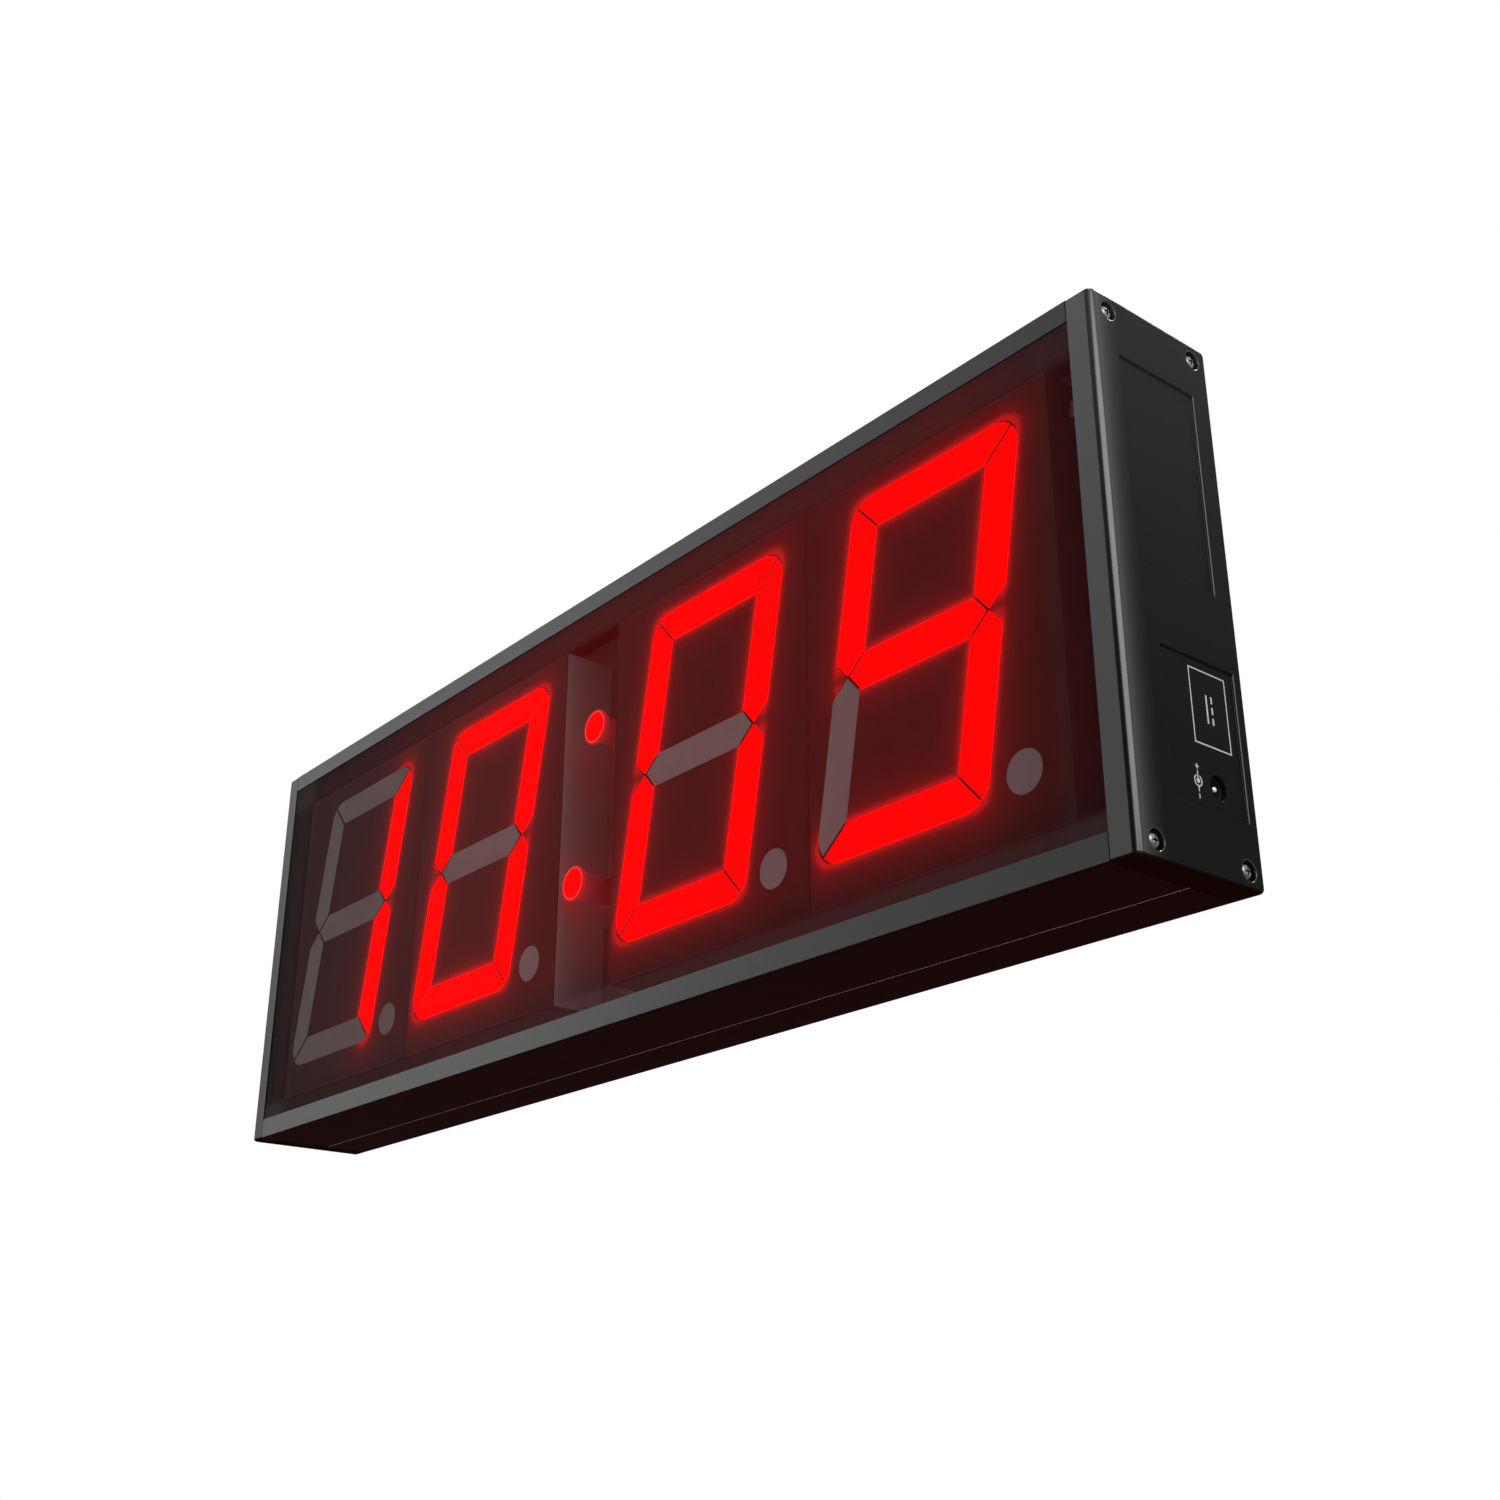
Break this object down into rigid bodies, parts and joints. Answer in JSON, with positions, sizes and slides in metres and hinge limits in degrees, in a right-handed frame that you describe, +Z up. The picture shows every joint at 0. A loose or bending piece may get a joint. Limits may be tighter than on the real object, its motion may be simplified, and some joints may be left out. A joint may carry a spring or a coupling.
{
  "type": "gym timer",
  "caption": "Wall or shelf interval timer: large seven-segment LED digits and a colon behind a smoked window, in a railed aluminium case with screwed end caps and a low-voltage power socket.",
  "frame": {"origin": "under the middle of the case, on the surface that it stands on", "axes": "+X to the right along the case as the display is read, +Y towards the back, the display facing -Y, +Z up"},
  "size_m": [0.53, 0.0558, 0.1827],
  "materials": {
    "black_anodised": "fine satin black anodising over extruded aluminium",
    "black_plastic": "fine matt moulded texture",
    "smoked_acrylic": "polished, tinted red-brown, see-through",
    "module_plastic": "matt black face on a pale grey moulding",
    "segment_unlit": "milky grey diffuser, unlit",
    "segment_lit": "milky diffuser, lit red from behind",
    "black_screw": "blackened steel with a soft shine",
    "steel": "nickel-plated",
    "circuit_board": "black solder mask on glass-fibre laminate",
    "dark_component": "plain black moulding",
    "ribbon_grey": "grey flat cable insulation"
  },
  "bodies": {
    "root": {"bottom_rail": "black_anodised", "top_rail": "black_anodised", "rear_channel": "black_anodised", "left_end_cap": "black_plastic", "right_end_cap": "black_plastic", "front_window": "smoked_acrylic", "digit_1_housing": "module_plastic", "digit_1_segment_a": "segment_unlit", "digit_1_segment_b": "segment_lit", "digit_1_segment_c": "segment_lit", "digit_1_segment_d": "segment_unlit", "digit_1_segment_e": "segment_unlit", "digit_1_segment_f": "segment_unlit", "digit_1_segment_g": "segment_unlit", "digit_1_decimal_point": "segment_unlit", "digit_2_housing": "module_plastic", "digit_2_segment_a": "segment_lit", "digit_2_segment_b": "segment_lit", "digit_2_segment_c": "segment_lit", "digit_2_segment_d": "segment_lit", "digit_2_segment_e": "segment_lit", "digit_2_segment_f": "segment_lit", "digit_2_segment_g": "segment_unlit", "digit_2_decimal_point": "segment_unlit", "digit_3_housing": "module_plastic", "digit_3_segment_a": "segment_lit", "digit_3_segment_b": "segment_lit", "digit_3_segment_c": "segment_lit", "digit_3_segment_d": "segment_lit", "digit_3_segment_e": "segment_lit", "digit_3_segment_f": "segment_lit", "digit_3_segment_g": "segment_unlit", "digit_3_decimal_point": "segment_unlit", "digit_4_housing": "module_plastic", "digit_4_segment_a": "segment_lit", "digit_4_segment_b": "segment_lit", "digit_4_segment_c": "segment_lit", "digit_4_segment_d": "segment_lit", "digit_4_segment_e": "segment_unlit", "digit_4_segment_f": "segment_lit", "digit_4_segment_g": "segment_lit", "digit_4_decimal_point": "segment_unlit", "colon_holder": "dark_component", "colon_lens_upper": "segment_lit", "colon_lens_lower": "segment_lit", "display_board": "circuit_board", "control_board": "circuit_board", "buzzer": "dark_component", "ir_receiver": "dark_component", "ribbon_cable": "ribbon_grey", "dc_jack_body": "dark_component", "dc_jack_pin": "steel", "screw_left_front_lower": "black_screw", "screw_left_front_upper": "black_screw", "screw_left_rear_lower": "black_screw", "screw_left_rear_upper": "black_screw", "screw_right_front_lower": "black_screw", "screw_right_front_upper": "black_screw", "screw_right_rear_lower": "black_screw", "screw_right_rear_upper": "black_screw"}
  },
  "joints": []
}
